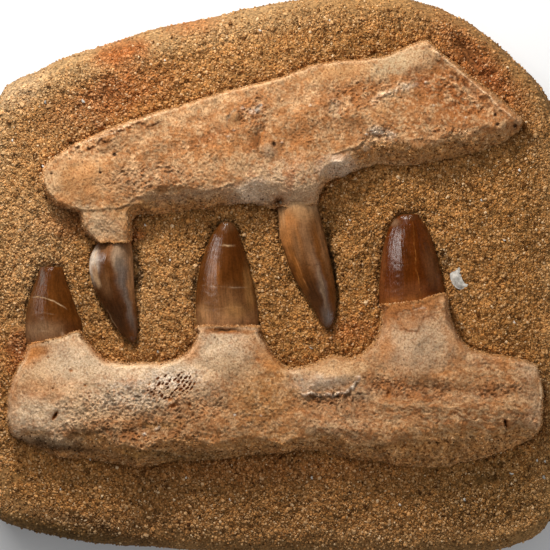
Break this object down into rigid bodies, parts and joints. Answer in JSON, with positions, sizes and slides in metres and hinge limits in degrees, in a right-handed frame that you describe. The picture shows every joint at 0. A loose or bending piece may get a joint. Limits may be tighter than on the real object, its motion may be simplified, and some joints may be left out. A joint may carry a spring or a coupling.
{
  "type": "fossil mosasaur jaw in matrix",
  "caption": "Fossil marine reptile jaw bones with enamel tooth crowns, prepared in relief on a loose slab of sandy matrix that lies on its flat back.",
  "frame": {"origin": "middle of the slab's plan, on its flat back", "axes": "+Z out of the worked face, +X along the jaws towards their rear end, +Y from the lower jaw to the upper"},
  "size_m": [0.241, 0.227, 0.048],
  "materials": {
    "sandy_matrix": "rough, coarse cemented sand, ochre tan",
    "fossil_bone": "matt mineralised bone, cream to orange brown",
    "tooth_enamel": "glossy brown fossil enamel",
    "shell": "dull grey white shell"
  },
  "bodies": {
    "root": {"matrix_slab": "sandy_matrix", "upper_jaw_bone": "fossil_bone", "lower_jaw_bone": "fossil_bone", "upper_front_tooth": "tooth_enamel", "upper_rear_tooth": "tooth_enamel", "lower_front_tooth": "tooth_enamel", "lower_middle_tooth": "tooth_enamel", "lower_rear_tooth": "tooth_enamel", "shell_fragment": "shell"}
  },
  "joints": []
}
